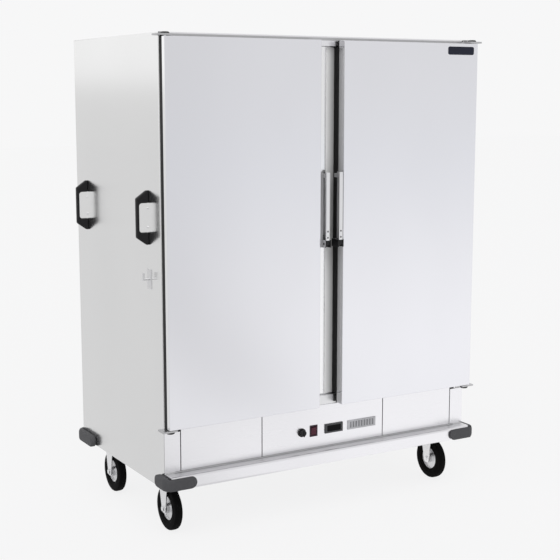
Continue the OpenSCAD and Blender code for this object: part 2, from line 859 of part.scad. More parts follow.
// Hairpin of tubular element on two brackets
module heating_element() {
    tube_r = 5;
    rod_len = 340;
    pitch = 50;
    y = fan_y - 120;
    z = fan_z - 40;
    color([0.35, 0.33, 0.32]) place() {
        for (k = [0, 1]) bar_x(-rod_len / 2, rod_len / 2, y, z + k * pitch, tube_r);
        translate([rod_len / 2, y, z + pitch / 2]) rotate([90, 0, 0])
            rotate_extrude(angle = 180, start = -90) translate([pitch / 2, 0]) circle(r = tube_r);
        for (x = [-110, 110])
            translate([x - 2, y - 15, rail_z1 + 2])
                cube([4, 30, z + pitch + 12 - rail_z1 - 2]);
    }
}

// ---------- output ----------

side_panel_left();
side_panel_right();
back_panel();
top_panel();
floor_panel();
centre_partition();
centre_post();
latch_keeper();
rack_uprights();
tray_runners_left();
tray_runners_right();
fascia_left();
fascia_right();
control_panel();
corner_post_covers();
chassis_side_rails();
chassis_end_rails();
base_pan();
corner_bumpers();
caster_plates();
caster_fork_front_left();
caster_fork_front_right();
caster_fork_back_left();
caster_fork_back_right();
caster_tyre_front_left();
caster_tyre_front_right();
caster_tyre_back_left();
caster_tyre_back_right();
caster_centre_front_left();
caster_centre_front_right();
caster_centre_back_left();
caster_centre_back_right();
push_handles_left();
push_handles_right();
handle_screws();
door_left_shell();
door_left_seal();
door_left_inner_panel();
door_left_latch_body();
door_left_lever();
door_right_shell();
door_right_seal();
door_right_inner_panel();
door_right_latch_body();
door_right_lever();
hinge_plates();
hinge_pins();
badge_plate();
thermostat_knob();
rocker_switch();
rocker_bezel();
temperature_display();
vent_grille();
plug_hook();
power_inlet();
blower_motor();
blower_wheel();
heating_element();
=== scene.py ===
# %% [markdown]
# # An enclosed meal tray cart
# A steel cabinet on four casters carries warm meal trays behind two doors. Its exact shapes and
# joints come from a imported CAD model, the frame. This lesson adds what that model leaves out:
# rolled sheet edges, brushed steel, moulded plastic, rubber, and the small fittings.

import json
import math

import bmesh
import bpy
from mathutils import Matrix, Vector


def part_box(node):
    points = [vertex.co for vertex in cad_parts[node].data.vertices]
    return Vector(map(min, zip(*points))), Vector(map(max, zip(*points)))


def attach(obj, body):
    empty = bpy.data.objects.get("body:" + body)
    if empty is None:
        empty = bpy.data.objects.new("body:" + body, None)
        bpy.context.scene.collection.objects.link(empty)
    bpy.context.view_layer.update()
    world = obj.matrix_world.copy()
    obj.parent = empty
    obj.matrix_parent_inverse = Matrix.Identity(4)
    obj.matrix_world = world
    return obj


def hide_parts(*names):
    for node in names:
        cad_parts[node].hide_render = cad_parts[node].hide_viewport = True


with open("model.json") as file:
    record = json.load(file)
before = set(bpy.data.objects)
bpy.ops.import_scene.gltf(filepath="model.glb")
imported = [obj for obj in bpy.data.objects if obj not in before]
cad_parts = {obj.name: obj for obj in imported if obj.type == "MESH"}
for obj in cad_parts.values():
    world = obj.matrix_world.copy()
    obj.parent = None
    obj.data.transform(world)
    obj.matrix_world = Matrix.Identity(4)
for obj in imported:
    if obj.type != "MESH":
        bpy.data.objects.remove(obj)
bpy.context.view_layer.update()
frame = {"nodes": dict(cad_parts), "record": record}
nodes = frame["nodes"]

# %% [markdown]
# The cabinet's front plane and its side planes are the lines that the rest hangs on. The front
# faces -y, x runs from the cart's left to its right as the photograph shows it, and z is up.

# %% The cabinet's planes
side_low, side_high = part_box("side_panel_right")
front, back = side_low.y, side_high.y
half = side_high.x
cab_bottom, cab_top = side_low.z, side_high.z
print("front plane", round(front, 4), "half width", round(half, 4), "top", round(cab_top, 4))

# %% [markdown]
# ## The camera
# The photograph is taken from the front left, a little below the top of the cart. The lens and
# the place were solved from the cabinet's corners, so the camera is set down from numbers.

# %% Camera
tilt_down, turn_right = 8.841, 30.633
camera_data = bpy.data.cameras.new("camera")
camera_data.lens = 76.96
camera_data.sensor_width = 36
camera_data.clip_end = 100
camera = bpy.data.objects.new("camera", camera_data)
bpy.context.scene.collection.objects.link(camera)
camera.location = (-2.3307, front - 3.6184, 1.5363)
camera.rotation_euler = (math.radians(90 - tilt_down), 0, math.radians(-turn_right))
bpy.context.scene.camera = camera
bpy.context.scene.view_settings.view_transform = "Standard"
print("camera at", [round(v, 2) for v in camera.location])

# %% [markdown]
# ## Light and floor
# Steel shows what stands round it, so the studio matters more than the lamps. It is built from
# shader nodes, in the world and in the floor. Both need the same few kinds of node, so each kind
# gets a helper that takes numbers or the outputs of other nodes alike.


# %% Helpers for node trees
cool = 1.003  # how much stronger blue is than red in the studio's light


def feed(tree, socket, value):
    """Links a node's output to a socket, or sets a number or a colour on it."""
    if isinstance(value, bpy.types.NodeSocket):
        tree.links.new(value, socket)
    else:
        socket.default_value = value


def calculate(tree, operation, *values):
    node = tree.nodes.new("ShaderNodeMath")
    node.operation = operation
    for socket, value in zip(node.inputs, values):
        feed(tree, socket, value)
    return node.outputs[0]


def remap(tree, source, low, high, out_low=0.0, out_high=1.0):
    """Turns values from low to high into values from out_low to out_high, and stops there."""
    node = tree.nodes.new("ShaderNodeMapRange")
    feed(tree, node.inputs["Value"], source)
    for name, value in (("From Min", low), ("From Max", high), ("To Min", out_low),
                        ("To Max", out_high)):
        node.inputs[name].default_value = value
    return node.outputs["Result"]


def mix_colours(tree, share, first, second):
    node = tree.nodes.new("ShaderNodeMix")
    node.data_type = "RGBA"
    for name, value in (("Factor", share), ("A", first), ("B", second)):
        feed(tree, node.inputs[name], value)
    return node.outputs["Result"]


def mix_shaders(tree, share, first, second):
    node = tree.nodes.new("ShaderNodeMixShader")
    for socket, value in zip(node.inputs, (share, first, second)):
        feed(tree, socket, value)
    return node.outputs[0]


def is_ray(tree, kind):
    """One for the named kind of ray, such as Is Glossy Ray, and nought for the others."""
    return tree.nodes.new("ShaderNodeLightPath").outputs[kind]


def glow(tree, kind, level):
    """A Background or Emission node of an even, very slightly cool grey."""
    node = tree.nodes.new(kind)
    node.inputs["Color"].default_value = (level, level, level * cool, 1)
    return node


print("helpers for nodes ready")

# %% [markdown]
# ### World
# The world has three levels: one that the camera sees as the pale backdrop, one that lights the
# cart, and one that its metal mirrors. The last one is linked in the next step.

# %% World
backdrop_level = 0.93
lighting_level = 0.72
world = bpy.data.worlds.new("studio")
bpy.context.scene.world = world
world.use_nodes = True
sky = world.node_tree
sky.nodes.clear()
seen = glow(sky, "ShaderNodeBackground", backdrop_level)
lighting = glow(sky, "ShaderNodeBackground", lighting_level)
mirrored = sky.nodes.new("ShaderNodeBackground")
unseen = mix_shaders(sky, is_ray(sky, "Is Glossy Ray"), lighting.outputs[0], mirrored.outputs[0])
studio = mix_shaders(sky, is_ray(sky, "Is Camera Ray"), unseen, seen.outputs[0])
sky.links.new(studio, sky.nodes.new("ShaderNodeOutputWorld").inputs["Surface"])
print("world made")

# %% [markdown]
# The mirrored studio isn't even. It is brightest on the left and behind, and darkest a little to
# the right of straight ahead of the doors, and it grows darker overhead. So its level follows the
# bearing, the angle of a direction seen from above, with nought straight ahead of the doors and
# pi behind the cart, where both ways round must meet at one level. Below the horizon it goes on
# as the floor does, so that no mirrored edge shows where the floor ends.


# %% Levels by bearing
first_bearing = -0.6


def by_bearing(tree, direction, levels):
    """A level that follows the bearing, from pairs of bearing in radians and level."""
    parts = tree.nodes.new("ShaderNodeSeparateXYZ")
    tree.links.new(direction, parts.inputs["Vector"])
    ahead = calculate(tree, "MULTIPLY", parts.outputs["Y"], -1)
    bearing = calculate(tree, "ARCTAN2", parts.outputs["X"], ahead)
    stops = tree.nodes.new("ShaderNodeValToRGB")
    ramp_stops = stops.color_ramp.elements
    for _ in levels[2:]:
        ramp_stops.new(0.5)
    for stop, (angle, level) in zip(ramp_stops, levels):
        stop.position = (angle - first_bearing) / (math.pi - first_bearing)
        stop.color = (level, level, level, 1)
    tree.links.new(remap(tree, bearing, first_bearing, math.pi), stops.inputs["Fac"])
    return stops.outputs["Color"], parts.outputs["Z"]


direction = sky.nodes.new("ShaderNodeTexCoord").outputs["Generated"]
above, height = by_bearing(sky, direction,
                           [(-0.45, 1.08), (0.42, 0.79), (0.56, 0.90), (0.75, 0.88), (1.2, 0.86),
                            (math.pi, 1.08)])
below, _ = by_bearing(sky, direction,
                      [(-0.45, 0.82), (0.42, 0.75), (0.54, 0.90), (0.75, 0.94), (1.2, 0.86),
                       (math.pi, 0.82)])
level = mix_colours(sky, remap(sky, height, 0.002, 0.014), below, above)
overhead = remap(sky, height, 0.25, 0.9, 0, -0.12)
sky.links.new(calculate(sky, "ADD", level, overhead), mirrored.inputs["Color"])
print("mirrored levels set")

# %% [markdown]
# ### Lamp
# One soft lamp stands high at the front left. A sun with a wide angle lights the whole cart
# evenly and leaves a shadow without an edge, as the photograph's large lamps do.

# %% Sun
from_overhead, to_the_left = 38, 35
sun_data = bpy.data.lights.new("soft sun", "SUN")
sun_data.energy = 0.9
sun_data.angle = math.radians(50)
sun = bpy.data.objects.new("soft sun", sun_data)
bpy.context.scene.collection.objects.link(sun)
sun.rotation_euler = (math.radians(from_overhead), 0, math.radians(-to_the_left))
print("sun strength", round(sun_data.energy, 2))

# %% [markdown]
# ### Floor
# The floor is one large sheet. Its own colour takes the light and the cart's shadow. To the
# camera most of it is the backdrop's level, so that the shadow stays as faint as in the
# photograph and no horizon shows. In mirror rays it is brighter to the right and close by, where
# the lamps shine on it, so the doors grow lighter downwards. Far off it is a little darker and
# bluer, which puts the faint cool band across the upper half of the doors. The two profiles by
# bearing, one far off and one close by, both end behind the cart at the level of its left side.

# %% Floor
floor_mesh = bpy.data.meshes.new("floor")
floor_bm = bmesh.new()
bmesh.ops.create_grid(floor_bm, x_segments=1, y_segments=1, size=30)
floor_bm.to_mesh(floor_mesh)
floor_bm.free()
floor = bpy.data.objects.new("floor", floor_mesh)
bpy.context.scene.collection.objects.link(floor)
floor_paint = bpy.data.materials.new("pale floor")
floor_paint.use_nodes = True
ground = floor_paint.node_tree
paint = ground.nodes["Principled BSDF"]
paint.inputs["Base Color"].default_value = (0.93, 0.93, 0.93, 1)
paint.inputs["Roughness"].default_value = 0.9
paint.inputs["Specular IOR Level"].default_value = 0.0
floor_mesh.materials.append(floor_paint)
print("floor", [round(v) for v in floor.dimensions], "metres")

# %% The floor's glow
glow_share = 0.9
place = ground.nodes.new("ShaderNodeTexCoord").outputs["Object"]
place_parts = ground.nodes.new("ShaderNodeSeparateXYZ")
ground.links.new(place, place_parts.inputs["Vector"])


def glow_over(under, ray, level):
    """Lays a glow over a shader, for one kind of ray."""
    lamp = glow(ground, "ShaderNodeEmission", level)
    share = calculate(ground, "MULTIPLY", is_ray(ground, ray), glow_share)
    return mix_shaders(ground, share, under, lamp.outputs[0]), lamp


def by_distance(start, end, value_start=0, value_end=1):
    """A value that changes as the floor comes closer to the doors, by two places along y."""
    return remap(ground, place_parts.outputs["Y"], start, end, value_start, value_end)


seen_floor, _ = glow_over(paint.outputs[0], "Is Camera Ray", backdrop_level)
mirrored_floor, mirror_glow = glow_over(seen_floor, "Is Glossy Ray", 1.0)
far_profile, _ = by_bearing(ground, place,
                            [(-0.45, 0.75), (-0.1, 0.94), (0.1, 0.97), (0.26, 0.75), (0.33, 0.77),
                             (0.42, 1.02), (0.55, 1.06), (0.65, 1.08), (1.2, 1.06), (1.6, 0.84),
                             (math.pi, 0.75)])
close_profile, _ = by_bearing(ground, place,
                              [(-0.45, 0.75), (-0.1, 0.97), (0.1, 1.00), (0.3, 0.98), (0.42, 1.02),
                               (0.65, 1.04), (1.1, 1.02), (1.6, 0.84), (math.pi, 0.75)])
strength = mix_colours(ground, by_distance(-2.4, -1.4), far_profile, close_profile)
for factor in (by_distance(-20, -7, 0.9, 1), by_distance(-8, -3, 0.98, 1.07)):
    strength = calculate(ground, "MULTIPLY", factor, strength)
bluish_white, plain_white = (0.97, 1.0, 1.05, 1), (1.0, 1.0, cool, 1)
ground.links.new(strength, mirror_glow.inputs["Strength"])
ground.links.new(mix_colours(ground, by_distance(-20, -7), bluish_white, plain_white),
                 mirror_glow.inputs["Color"])
ground.links.new(mirrored_floor, ground.nodes["Material Output"].inputs["Surface"])
print("floor glow set")

# %% [markdown]
# ## Materials
# All finishes start from one helper. It makes a Principled shader, and lays two patterns on it
# from Object coordinates: a slow one that varies the colour, and a fine one that breaks up the
# gloss and gives a slight bump. A pattern that is stretched along one axis reads as brushing.


# %% Helpers for finishes
noise_low, noise_high = 0.3, 0.7  # nearly all of a noise lies between these


def new_finish(name, colour, metallic, roughness, specular=0.5):
    """A material, with its node tree and the inputs of its shader."""
    material = bpy.data.materials.new(name)
    material.use_nodes = True
    inputs = material.node_tree.nodes["Principled BSDF"].inputs
    for socket, value in (("Base Color", (*colour, 1)), ("Metallic", metallic),
                          ("Roughness", roughness), ("Specular IOR Level", specular)):
        inputs[socket].default_value = value
    return material, material.node_tree, inputs


def pattern(tree, scale, detail, stretch=(1, 1, 1)):
    """Noise on Object coordinates, in spots per metre, stretched along the axes."""
    coords = tree.nodes.new("ShaderNodeTexCoord")
    mapping = tree.nodes.new("ShaderNodeMapping")
    noise = tree.nodes.new("ShaderNodeTexNoise")
    mapping.inputs["Scale"].default_value = stretch
    noise.inputs["Scale"].default_value = scale
    noise.inputs["Detail"].default_value = detail
    tree.links.new(coords.outputs["Object"], mapping.inputs["Vector"])
    tree.links.new(mapping.outputs["Vector"], noise.inputs["Vector"])
    return noise.outputs["Fac"]


def tint(tree, inputs, share, dark, light):
    """Varies the base colour between two colours."""
    tree.links.new(mix_colours(tree, share, (*dark, 1), (*light, 1)), inputs["Base Color"])


def vary_gloss(tree, inputs, source, roughness, spread):
    """Lets the roughness follow a pattern, a little up and down."""
    tree.links.new(remap(tree, source, noise_low, noise_high, roughness - spread,
                         roughness + spread), inputs["Roughness"])


def bump(tree, inputs, source, strength, distance):
    node = tree.nodes.new("ShaderNodeBump")
    node.inputs["Strength"].default_value = strength
    node.inputs["Distance"].default_value = distance
    tree.links.new(source, node.inputs["Height"])
    tree.links.new(node.outputs["Normal"], inputs["Normal"])


print("helpers for finishes ready")


# %% [markdown]
# ### Brushed steel
# Stainless sheet is ground along its length, which leaves fine upright scratches on the side
# panels and doors. The scratches are far thinner than a pixel, so they show as a soft grain and
# as a blur of reflections across them, and the sheet itself is never quite even. On the side
# panels the blur shows, because the push handles stand close to them: each handle's mirror image
# is drawn out sideways, while level edges stay sharp. There the shader's anisotropy does it.


# %% Brushed steel
scratches_across, scratches_along = 900, 5


def brushed_steel(name, colour, roughness, way, coarse=1.0, sideways=0.0):
    """Sheet ground along one axis. Sideways is how much more it blurs round the upright axis."""
    material, tree, inputs = new_finish(name, colour, 1.0, roughness)
    stretch = [scratches_across] * 3
    stretch["xyz".index(way)] = scratches_along
    grain = pattern(tree, 1.0, 2.0, stretch)
    cloud = pattern(tree, 2.2, 2.0, (1, 1, 0.5))
    dark, light = ([min(1, c * share) for c in colour] for share in (0.985, 1.015))
    tint(tree, inputs, remap(tree, cloud, noise_low, noise_high), dark, light)
    vary_gloss(tree, inputs, grain, roughness, 0.02 * coarse)
    bump(tree, inputs, grain, 0.02 * coarse, 0.0001)
    inputs["Anisotropic"].default_value = sideways
    return material


side_steel = brushed_steel("brushed side steel", (0.79, 0.79, 0.79), 0.17, "z", sideways=0.70)
door_steel = brushed_steel("brushed door steel", (0.785, 0.785, 0.82), 0.22, "z")
frame_steel = brushed_steel("frame steel", (0.83, 0.825, 0.85), 0.28, "x", coarse=0.35)
inner_steel = brushed_steel("inner steel", (0.74, 0.74, 0.75), 0.30, "z")
bright_steel = brushed_steel("bright steel", (0.84, 0.84, 0.85), 0.26, "z")
# Painted highlight: paler than the door steel for the bright line along the hinge hem, and
# glossier.
hem_highlight_steel = brushed_steel("hem steel, painted highlight", (0.86, 0.86, 0.87), 0.13, "z")
# Painted shade: a darker, duller steel for the ledge under the fascias and for the plug hook.
dull_shade_steel = brushed_steel("dull steel, painted shade", (0.70, 0.70, 0.71), 0.40, "x")
lever_steel = brushed_steel("lever steel", (0.75, 0.75, 0.76), 0.30, "z")
# Painted shade: the doors' free edges are a darker steel for the dark gap they mirror.
free_edge_shade_steel = brushed_steel("door edge steel, painted shade", (0.52, 0.52, 0.53), 0.14, "z")
post_steel = brushed_steel("polished post steel", (0.84, 0.84, 0.85), 0.12, "z")
# Painted shade: a darker steel for the top panel's strip above the doors.
painted_shade_steel = brushed_steel("steel with painted shade", (0.50, 0.50, 0.51), 0.40, "z")
# Painted shade: the hinge plates are a darker steel for their shaded edge-on faces.
hinge_shade_steel = brushed_steel("hinge steel, painted shade", (0.50, 0.50, 0.51), 0.36, "x")
print("twelve kinds of steel")


# %% [markdown]
# ### Plastics, rubber and paint
# Handles and latches are moulded from black nylon with a fine pebble, the bumpers and door
# frames are matt rubber, and the tyres are hard black rubber that has picked up some dust.
# Paint and lacquer are made the same way, with a pebble too shallow to see.


# %% Plastics, rubber and paint
even_pebble, shallow = 0.001, 0.00005


def pebbled(name, colour, roughness, pebble=even_pebble, depth=shallow, dusty=1.25, specular=0.3):
    """A coating with pebbles of a size and depth in metres. Dusty is its palest spots' share."""
    material, tree, inputs = new_finish(name, colour, 0.0, roughness, specular)
    grain = pattern(tree, 1 / pebble, 2.0)
    cloud = pattern(tree, 9, 4.0)
    tint(tree, inputs, remap(tree, cloud, 0.35, 0.75), colour, [c * dusty for c in colour])
    vary_gloss(tree, inputs, cloud, roughness, 0.06)
    bump(tree, inputs, grain, 0.25, depth)
    return material


black_nylon = pebbled("black nylon", (0.008, 0.008, 0.009), 0.42, 0.0009, 0.0001, specular=0.25)
seal_rubber = pebbled("door frame rubber", (0.012, 0.012, 0.012), 0.62, 0.0012, 0.0001,
                      specular=0.2)
bumper_rubber = pebbled("bumper rubber", (0.058, 0.058, 0.062), 0.6, 0.0015, 0.00015)
tyre_rubber = pebbled("tyre rubber", (0.003, 0.003, 0.003), 0.7, 0.0012, 0.0001, 1.6, 0.05)
# Painted shade: the grey of the strips on the centre post, set again below by distance from the
# middle.
post_shade_paint = pebbled("post strip, painted shade", (0.50, 0.50, 0.50), 0.5, 0.002)
hinge_bush = pebbled("hinge bush nylon", (0.03, 0.03, 0.03), 0.5)
# Painted shade: a mid-grey for the latch plate, steel in the lever's shadow.
latch_shade_grey = pebbled("latch plate, painted shade", (0.30, 0.30, 0.31), 0.45)
gloss_black = pebbled("gloss black", (0.002, 0.002, 0.003), 0.16, 0.004, 0.00001, specular=0.08)
case_grey = pebbled("display case", (0.045, 0.045, 0.048), 0.4)
badge_black = pebbled("badge lacquer", (0.010, 0.012, 0.024), 0.3, 0.004, 0.00001, specular=0.2)
bezel_maroon = pebbled("switch frame", (0.035, 0.016, 0.024), 0.4)
rocker_red = pebbled("rocker red", (0.055, 0.003, 0.014), 0.25, 0.002, 0.00001)
grille_paint = pebbled("grille paint", (0.42, 0.42, 0.44), 0.4)
mesh_grey = pebbled("vent mesh grey", (0.22, 0.22, 0.23), 0.5, 0.002)
motor_paint = pebbled("motor paint", (0.12, 0.12, 0.13), 0.5, 0.002)
print("fifteen coatings")


# %% [markdown]
# ### Cast and heated metal
# The wheel centres are cast aluminium, duller than sheet and slightly grainy. The heating
# element's sheath has been hot, so it is brown and rough.


# %% Cast and heated metal
def cast_metal(name, colour, roughness):
    material, tree, inputs = new_finish(name, colour, 1.0, roughness)
    grain = pattern(tree, 700, 3.0)
    cloud = pattern(tree, 18, 3.0)
    tint(tree, inputs, remap(tree, cloud, noise_low, noise_high), [c * 0.85 for c in colour],
         colour)
    bump(tree, inputs, grain, 0.2, 0.0002)
    return material


cast_aluminium = cast_metal("cast aluminium", (0.80, 0.80, 0.81), 0.42)
heat_brown = cast_metal("heated sheath", (0.26, 0.22, 0.20), 0.5)
print("two metals")


# %% [markdown]
# ## Dress the CAD nodes
# Every node gets its finish first, and the copies that stand in for nodes later take it over. A
# CAD mesh comes with material slots of its own, so these are cleared before the finish goes in.


# %% Which node wears what
dress = {
    side_steel: ["side_panel_left", "side_panel_right", "back_panel"],
    frame_steel: ["top_panel", "control_panel", "fascia_left", "fascia_right",
                  "corner_post_covers", "chassis_end_rails"],
    inner_steel: ["floor_panel", "centre_partition", "chassis_side_rails", "base_pan",
                  "tray_runners_left", "tray_runners_right", "door_left_inner_panel",
                  "door_right_inner_panel"],
    door_steel: ["door_left_shell", "door_right_shell"],
    post_steel: ["centre_post"],
    bright_steel: ["rack_uprights", "caster_plates", "handle_screws", "hinge_pins"],
    # Painted shade: the plug hook wears the ledge's darker, duller steel.
    dull_shade_steel: ["plug_hook"],
    lever_steel: ["door_left_lever", "door_right_lever"],
    # Painted shade: the hinge plates wear the darker steel.
    hinge_shade_steel: ["hinge_plates"],
    black_nylon: ["push_handles_left", "push_handles_right", "latch_keeper",
                  "door_left_latch_body", "door_right_latch_body", "thermostat_knob",
                  "power_inlet"],
    bezel_maroon: ["rocker_bezel"],
    seal_rubber: ["door_left_seal", "door_right_seal"],
    bumper_rubber: ["corner_bumpers"],
    case_grey: ["temperature_display"],
    badge_black: ["badge_plate"],
    rocker_red: ["rocker_switch"],
    grille_paint: ["vent_grille"],
    motor_paint: ["blower_motor"],
    cast_aluminium: ["blower_wheel"],
    heat_brown: ["heating_element"],
    tyre_rubber: [],
}
corners = ["front_left", "front_right", "back_left", "back_right"]
for corner in corners:
    dress[bright_steel].append("caster_fork_" + corner)
    dress[tyre_rubber].append("caster_tyre_" + corner)
    dress[cast_aluminium].append("caster_centre_" + corner)

finish_of = {name: material for material, names in dress.items() for name in names}
for name, material in finish_of.items():
    nodes[name].data.materials.clear()
    nodes[name].data.materials.append(material)
print(len(finish_of), "nodes dressed of", len(nodes))

# %% [markdown]
# ## Rolled and moulded edges
# No real edge is a perfect line. Sheet is folded over a radius, and a mould rounds its corners,
# and a thin line of light along each edge is what makes a piece look solid. A copy of the CAD
# mesh is merged, its flat faces are joined again, and its sharp edges are bevelled. Thin sheet
# can't take the radius of its fold on both sides at once, so a test picks the outer edges. The
# shading is weighted by area, so that a large flat face stays flat up to its rounded edge.

# %% Helpers for pieces
merge_distance = 1e-6
same_place = 1e-4
body_of = {name: body for body, names in frame["record"]["behaviour"]["bodies"].items()
           for name in names}


def add_piece(name, bm, material, body, smooth=35):
    """Makes an object from a bmesh and lets it ride on a body."""
    mesh = bpy.data.meshes.new(name)
    bm.to_mesh(mesh)
    bm.free()
    mesh.materials.append(material)
    mesh.shade_smooth()
    mesh.set_sharp_from_angle(angle=math.radians(smooth))
    obj = bpy.data.objects.new(name, mesh)
    bpy.context.scene.collection.objects.link(obj)
    shading = obj.modifiers.new("even shading", "WEIGHTED_NORMAL")
    shading.keep_sharp = True
    shading.weight = 100
    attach(obj, body)
    return obj


def stand_in(name, bm, word="rounded", smooth=35):
    """Makes the piece that replaces a CAD node and keeps its body, slot and finish."""
    obj = add_piece(name + "_" + word, bm, finish_of[name], body_of[name], smooth)
    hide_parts(name)
    return obj


def merged_copy(name):
    bm = bmesh.new()
    bm.from_mesh(nodes[name].data)
    bmesh.ops.remove_doubles(bm, verts=bm.verts, dist=merge_distance)
    bmesh.ops.dissolve_limit(bm, angle_limit=math.radians(0.6), verts=bm.verts, edges=bm.edges)
    return bm


def sharp_edges(bm, limit=30):
    return [edge for edge in bm.edges
            if len(edge.link_faces) == 2 and edge.calc_face_angle(0) > math.radians(limit)]


def soften(bm, edges, radius, segments=2):
    bmesh.ops.bevel(bm, geom=edges, offset=radius, segments=segments, profile=0.5, affect="EDGES",
                    clamp_overlap=True, material=-1)


def cut(bm, place, normal, drop_far_side=False):
    """Cuts a mesh along a plane, and can drop what lies on the side that the normal shows."""
    bmesh.ops.bisect_plane(bm, geom=bm.verts[:] + bm.edges[:] + bm.faces[:], plane_co=place,
                           plane_no=normal, clear_outer=drop_far_side)


def along(edge, **planes):
    """Says if both ends of an edge lie on the named planes, such as y=front."""
    return all(abs(vert.co["xyz".index(axis)] - place) < 2 * same_place
               for vert in edge.verts for axis, place in planes.items())


print("helpers ready for", len(body_of), "nodes")

# %% [markdown]
# ### Turned parts and blocks
# Wheels, knobs, screws and caps are round, so they start as a profile that is spun about its
# axis. A profile is a list of radii with their places along the axis. The spin leaves the
# middle open or doubled, so doubles are merged and the faces are turned outwards afterwards.
# Square pieces start as a cube that is scaled to two corners. Either can be joined to a mesh
# that is still being made.


# %% Helpers for turned parts and blocks
def joined(bm, into):
    """Adds one bmesh to another, or gives it back where there is no other."""
    if into is None:
        return bm
    mesh = bpy.data.meshes.new("scrap")
    bm.to_mesh(mesh)
    bm.free()
    into.from_mesh(mesh)
    bpy.data.meshes.remove(mesh)
    return into


def turned(profile, centre, axis, steps, closed=False, into=None):
    bm = bmesh.new()
    forward = Vector([float(a == axis) for a in "xyz"])
    out = Vector((0, 0, 1)) if axis != "z" else Vector((1, 0, 0))
    middle = Vector(centre)
    points = [bm.verts.new(middle + out * r + forward * a) for r, a in profile]
    ends = points[1:] + points[:1] if closed else points[1:]
    lines = [bm.edges.new(pair) for pair in zip(points, ends)]
    bmesh.ops.spin(bm, geom=points + lines, cent=middle, axis=forward, angle=2 * math.pi,
                   steps=steps, use_merge=True)
    bmesh.ops.remove_doubles(bm, verts=bm.verts, dist=merge_distance)
    bmesh.ops.recalc_face_normals(bm, faces=bm.faces)
    return joined(bm, into)


def new_box(low, high, radius=0.0, segments=2, into=None):
    bm = bmesh.new()
    bmesh.ops.create_cube(bm, size=1)
    low, high = Vector(low), Vector(high)
    bmesh.ops.scale(bm, vec=high - low, verts=bm.verts)
    bmesh.ops.translate(bm, vec=(low + high) / 2, verts=bm.verts)
    if radius:
        soften(bm, bm.edges[:], radius, segments)
    return joined(bm, into)


print("helpers for turned parts and blocks ready")

# %% [markdown]
# ### Small radii
# Most pieces only need their sharp edges broken. The radius is that of the real edge: about a
# millimetre or less on sheet and bar, up to two on mouldings, and four on the push handles, which
# are almost round. Radii over three millimetres take one more segment.

# %% Small radii on flat and moulded pieces
small_radii = {
    "back_panel": 0.0012, "control_panel": 0.0008, "fascia_left": 0.0008, "fascia_right": 0.0008,
    "centre_post": 0.002, "floor_panel": 0.0008, "tray_runners_left": 0.0005,
    "tray_runners_right": 0.0005, "rack_uprights": 0.0008, "door_left_seal": 0.001,
    "door_right_seal": 0.001, "push_handles_left": 0.0042, "push_handles_right": 0.0042,
    "hinge_plates": 0.0012, "latch_keeper": 0.002, "temperature_display": 0.0008,
    "rocker_bezel": 0.0008, "vent_grille": 0.0005, "rocker_switch": 0.001,
    "power_inlet": 0.0015, "caster_plates": 0.001, "plug_hook": 0.0008, "blower_motor": 0.001,
}
for corner in corners:
    small_radii["caster_fork_" + corner] = 0.0008
    small_radii["caster_centre_" + corner] = 0.0012
for name, radius in small_radii.items():
    bm = merged_copy(name)
    soften(bm, sharp_edges(bm), radius, 3 if radius > 0.003 else 2)
    piece = stand_in(name, bm)
    print(piece.name, len(piece.data.polygons), "faces")

# %% [markdown]
# ### Cabinet panels
# The side panels are wrapped sheet: their upright front edges and their top edges are folded
# over a good radius that catches a bright line, while the joints with the top panel are tight.
# The top panel is folded along its front and back. It is also cut along the level of the doors'
# top, so that its edge above them can take painted shade of its own.

# %% Side panels and top
fold = 0.005
for side, word in ((-1, "left"), (1, "right")):
    name = "side_panel_" + word
    bm = merged_copy(name)
    outer = [edge for edge in sharp_edges(bm)
             if along(edge, x=side * half) and not along(edge, z=cab_bottom)]
    soften(bm, outer, fold, 4)
    print(stand_in(name, bm).name, len(outer), "folded edges")

door_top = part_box("door_right_shell")[1].z
bm = merged_copy("top_panel")
long_edges = [edge for edge in sharp_edges(bm)
              if along(edge, z=cab_top, y=front) or along(edge, z=cab_top, y=back)]
soften(bm, long_edges, fold, 4)
cut(bm, (0, 0, door_top), (0, 0, 1))
top_piece = stand_in("top_panel", bm)
print(top_piece.name, len(long_edges), "folded edges")

# %% [markdown]
# ### Second finishes
# The strip of the top panel above the doors is a darker steel, painted shade for the doors' dark
# gap that it mirrors. Where the corner covers meet the side panels, their side faces are black,
# painted shade for the seam. Such faces get a second material on the same piece, picked by where
# they are and which way they face.


# %% Second finishes on one piece
def faces_along(normal, axis):
    """Says if a face looks straight along an axis, either way."""
    return abs(normal["xyz".index(axis)]) > 0.99


def refinish(piece, material, test):
    """Gives the faces that pass a test, by centre and normal, a second material."""
    piece.data.materials.append(material)
    chosen = [face for face in piece.data.polygons if test(face.center, face.normal)]
    for face in chosen:
        face.material_index = len(piece.data.materials) - 1
    print(piece.name, len(chosen), "faces in", material.name)


def on_side_plane(place, normal):
    return abs(abs(place.x) - half) < same_place and faces_along(normal, "x")


# The strip above the doors gets painted shade.
refinish(top_piece, painted_shade_steel, lambda place, normal: normal.y < -0.99 and place.z > door_top)
bm = merged_copy("corner_post_covers")
soften(bm, sharp_edges(bm), 0.0006)
# The covers' side faces take black rubber, painted shade for the seam with the side panels.
refinish(stand_in("corner_post_covers", bm), seal_rubber, on_side_plane)

# %% [markdown]
# ### Post strips with painted shade
# On the centre post, beside each door seal, a thin grey strip runs from the compartment floor to
# the roof. Its colour is painted shade for the gap between the doors: pale near the middle of the
# post and darker towards the seals, so it follows the distance from the middle. This takes the
# place of the tint that the coating has.

# %% Strips with painted shade
strip_inner, strip_outer = 0.0115, 0.0455
strip_thick, strip_gap = 0.0008, 0.004
tree = post_shade_paint.node_tree
strip_parts = tree.nodes.new("ShaderNodeSeparateXYZ")
tree.links.new(tree.nodes.new("ShaderNodeTexCoord").outputs["Object"], strip_parts.inputs["Vector"])
aside = calculate(tree, "ABSOLUTE", strip_parts.outputs["X"])
